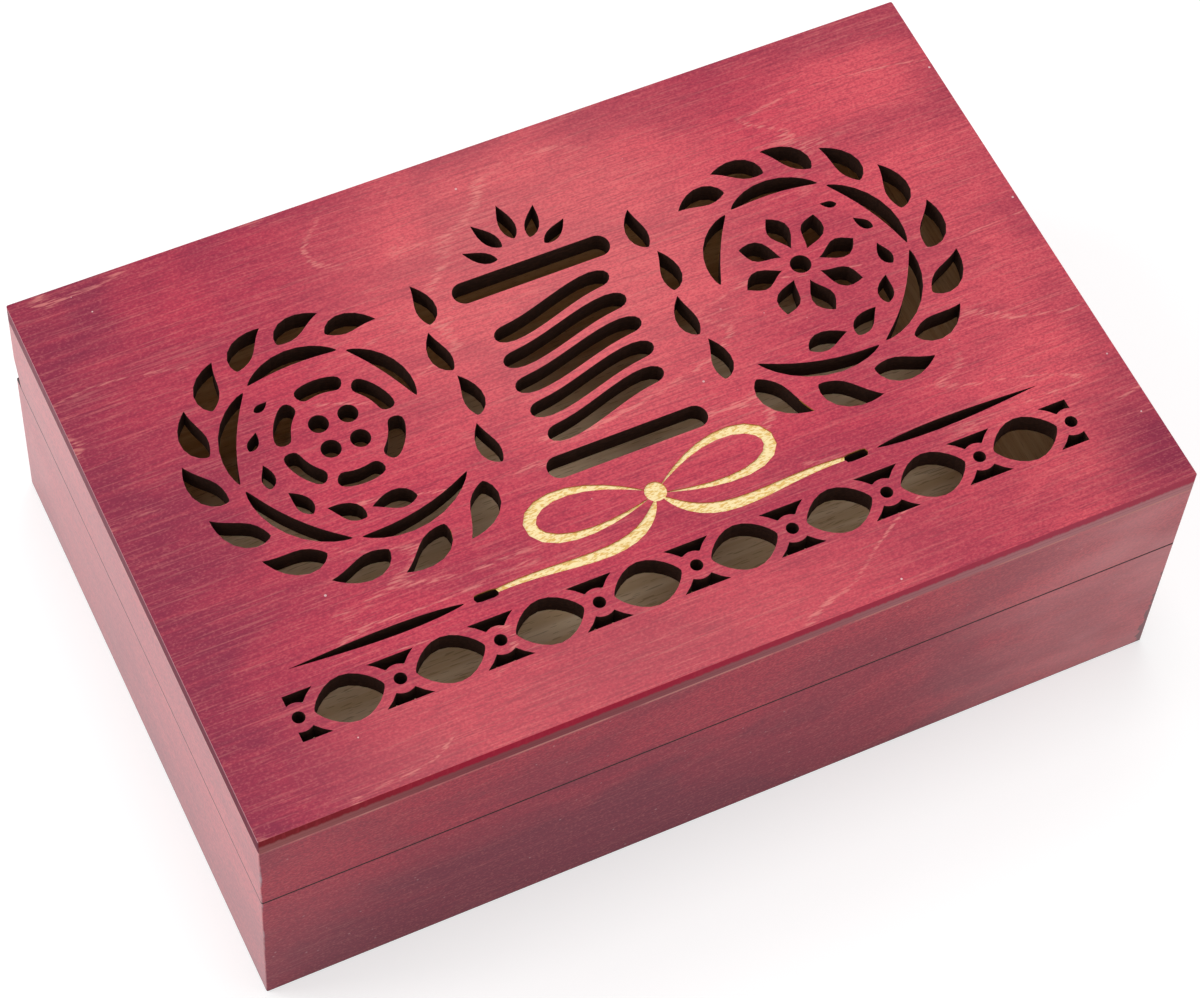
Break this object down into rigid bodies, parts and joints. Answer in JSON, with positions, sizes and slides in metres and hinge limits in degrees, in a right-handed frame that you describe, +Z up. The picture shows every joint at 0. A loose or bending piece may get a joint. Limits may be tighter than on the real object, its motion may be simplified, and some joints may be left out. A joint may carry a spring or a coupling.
{
  "type": "thread spool storage box",
  "caption": "Wooden box for thread spools, with a hinged lid whose plywood panel is cut in a fretwork pattern.",
  "frame": {"origin": "middle of the footprint, on the surface that the box stands on", "axes": "+X along the length, to the right seen from the front; +Y to the back, where the hinges are; +Z up"},
  "size_m": [0.23, 0.15, 0.075],
  "materials": {
    "dyed_wood": "crimson water dye, rubbed, under a thin satin coat; raw wood inside",
    "dyed_plywood": "crimson dyed birch plywood, satin; cut edges browned by the laser",
    "raw_plywood": "raw birch plywood",
    "brass": "satin brass",
    "brass_screw": "bright brass",
    "steel_pin": "drawn steel wire"
  },
  "bodies": {
    "base": {"base_front_wall": "dyed_wood", "base_back_wall": "dyed_wood", "base_left_wall": "dyed_wood", "base_right_wall": "dyed_wood", "base_floor": "raw_plywood", "left_hinge_base_leaf": "brass", "left_hinge_pin": "steel_pin", "left_hinge_base_screws": "brass_screw", "right_hinge_base_leaf": "brass", "right_hinge_pin": "steel_pin", "right_hinge_base_screws": "brass_screw"},
    "lid": {"lid_front_rail": "dyed_wood", "lid_back_rail": "dyed_wood", "lid_left_rail": "dyed_wood", "lid_right_rail": "dyed_wood", "lid_panel": "dyed_plywood", "left_hinge_lid_leaf": "brass", "left_hinge_lid_screws": "brass_screw", "right_hinge_lid_leaf": "brass", "right_hinge_lid_screws": "brass_screw"}
  },
  "joints": [
    {"name": "lid_hinge", "type": "hinge", "parent": "base", "child": "lid", "pos_m": [0, 0.0727, 0.0455], "axis": [-1, 0, 0], "range_deg": [0, 102]}
  ]
}
